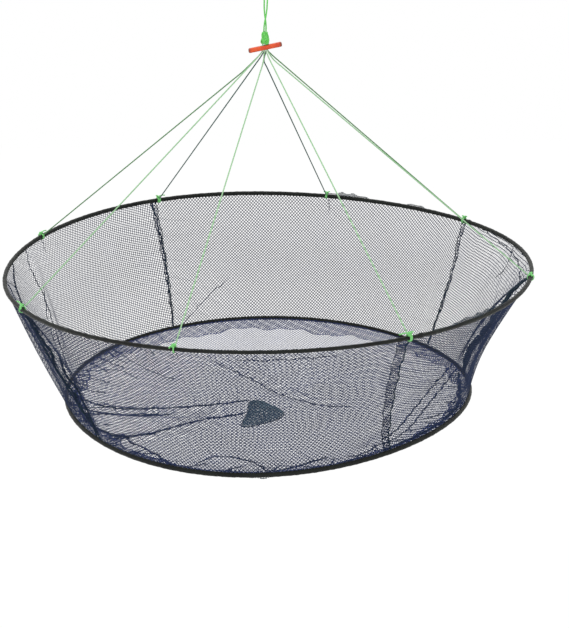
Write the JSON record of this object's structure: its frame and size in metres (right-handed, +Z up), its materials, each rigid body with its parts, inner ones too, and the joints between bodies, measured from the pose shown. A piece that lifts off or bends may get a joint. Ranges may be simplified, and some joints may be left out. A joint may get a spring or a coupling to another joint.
{
  "type": "folding fish trap net",
  "caption": "Round open-top hanging net with sprung hoops, fine mesh wall and bottom, bait pocket, cord bridle, toggle bar and hanging loop.",
  "frame": {"origin": "top of the hanging loop's cord, where a hook holds the net up", "axes": "+Z up, out of the net's open mouth towards the hook; +X to the right and +Y away, seen from the front"},
  "size_m": [0.807, 0.807, 0.674],
  "materials": {
    "hoop_sleeve": "black woven sleeve over spring wire",
    "netting": "fine dark blue-green mesh, matte",
    "pocket_net": "dense dark teal mesh, matte",
    "cord": "light green braided cord",
    "knot_cord": "vivid green braided cord",
    "bar": "orange moulded plastic"
  },
  "bodies": {
    "root": {"upper_hoop": "hoop_sleeve", "lower_hoop": "hoop_sleeve", "wall_panel_1": "netting", "wall_panel_2": "netting", "wall_panel_3": "netting", "wall_panel_4": "netting", "bottom_net": "netting", "bait_pocket": "pocket_net", "toggle_bar": "bar", "top_knot": "knot_cord", "hanging_loop": "cord", "bridle_1": "cord", "bridle_2": "cord", "bridle_3": "cord", "bridle_4": "cord", "bridle_5": "cord", "bridle_6": "cord", "bridle_7": "cord", "bridle_8": "cord", "tie_1": "knot_cord", "tie_2": "knot_cord", "tie_3": "knot_cord", "tie_4": "knot_cord", "tie_5": "knot_cord", "tie_6": "knot_cord", "tie_7": "knot_cord", "tie_8": "knot_cord"}
  },
  "joints": []
}
